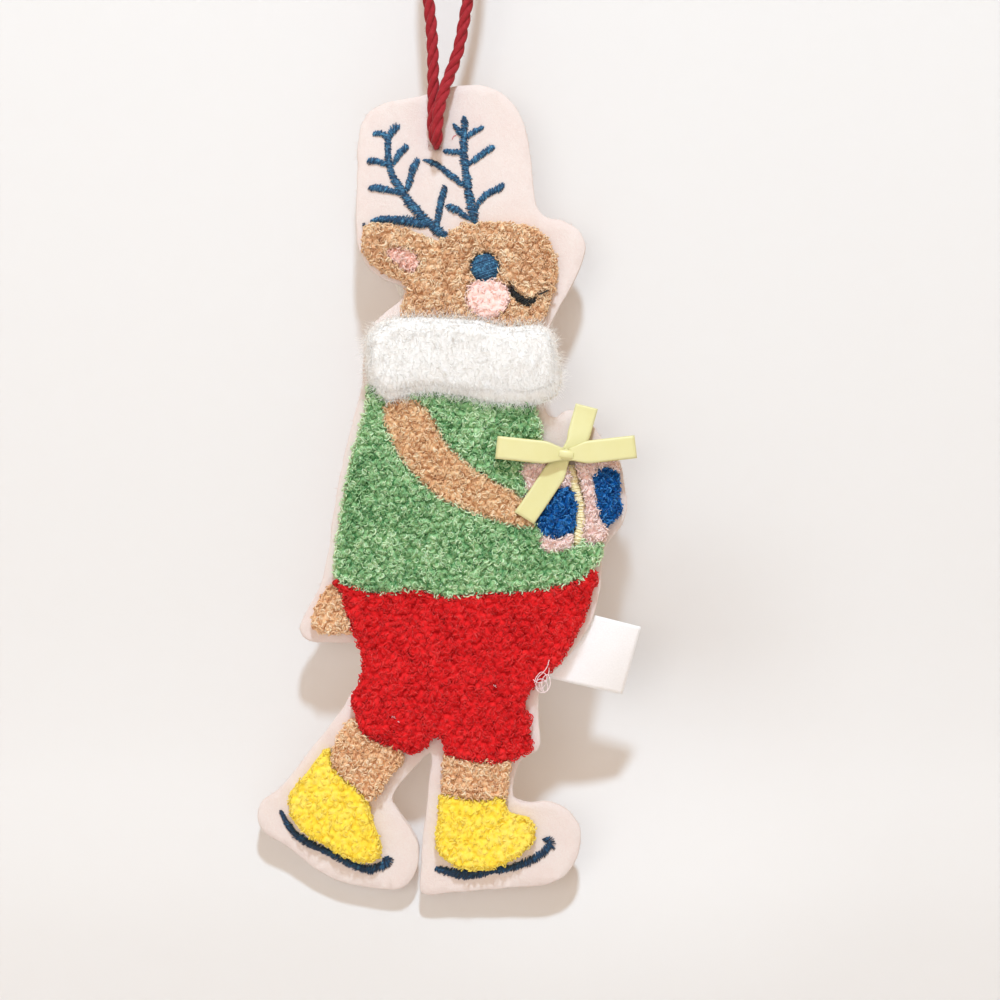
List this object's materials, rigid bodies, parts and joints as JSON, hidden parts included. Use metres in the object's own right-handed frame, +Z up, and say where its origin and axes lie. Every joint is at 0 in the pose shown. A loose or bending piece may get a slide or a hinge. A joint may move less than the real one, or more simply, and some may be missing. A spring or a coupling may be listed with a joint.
{
  "type": "felt christmas ornament",
  "caption": "Flat felt reindeer on skates with looped pile, satin stitches, a fur collar, a ribbon bow and a blank seam label, hanging from a twisted cord loop.",
  "frame": {"origin": "the point where the top of the cord loop bears on its hook", "axes": "+Z up while it hangs, -Y the way its decorated front faces, +X the way the reindeer faces"},
  "size_m": [0.1035, 0.0109, 0.2798],
  "materials": {
    "felt": "pale pink wool felt",
    "backing": "non-woven embroidery backing",
    "cord": "twisted crimson cord",
    "tan_pile": "looped yarn pile",
    "arm_pile": "looped yarn pile",
    "pink_pile": "looped yarn pile",
    "green_pile": "looped yarn pile",
    "red_pile": "looped yarn pile",
    "yellow_pile": "looped yarn pile",
    "blue_pile": "looped yarn pile",
    "navy_satin": "satin stitch",
    "black_satin": "satin stitch",
    "cream_satin": "satin stitch",
    "fur": "white faux fur",
    "ribbon": "satin ribbon",
    "label": "blank woven tape"
  },
  "bodies": {
    "hanger": {"hanger_loop": "cord"},
    "figure": {"hanger_knot": "cord", "front_felt": "felt", "embroidery_backing": "backing", "back_felt": "felt", "head_pile": "tan_pile", "inner_ear_pile": "pink_pile", "cheek_pile": "pink_pile", "mouth_stitch": "black_satin", "eye_stitch": "navy_satin", "antler_left": "navy_satin", "antler_right": "navy_satin", "fur_collar": "fur", "arm_pile": "arm_pile", "sweater_pile": "green_pile", "chest_pile": "green_pile", "trouser_pile": "red_pile", "tail_pile": "tan_pile", "left_leg_pile": "tan_pile", "right_leg_pile": "tan_pile", "left_boot_pile": "yellow_pile", "right_boot_pile": "yellow_pile", "left_blade": "navy_satin", "right_blade": "navy_satin", "gift_pink_upper": "pink_pile", "gift_pink_lower": "pink_pile", "gift_pink_right": "pink_pile", "gift_blue_left": "blue_pile", "gift_blue_right": "blue_pile", "gift_stripe": "cream_satin", "bow_knot": "ribbon", "bow_loop_right": "ribbon", "bow_loop_left": "ribbon", "bow_tail_upper": "ribbon", "bow_tail_lower": "ribbon", "label_tab": "label"},
    "label": {"label_flap": "label"}
  },
  "joints": [
    {"name": "figure_swing", "type": "hinge", "parent": "hanger", "child": "figure", "pos_m": [-0.0051, 0.0027, -0.075], "axis": [-1, 0, 0], "range_deg": [0, 90]},
    {"name": "label_flap_fold", "type": "hinge", "parent": "figure", "child": "label", "pos_m": [0.03786, 0.00375, -0.20372], "axis": [-0.5766, 0, -0.8171], "range_deg": [-75, 75], "stiffness_Nm_per_rad": 0.00002}
  ]
}
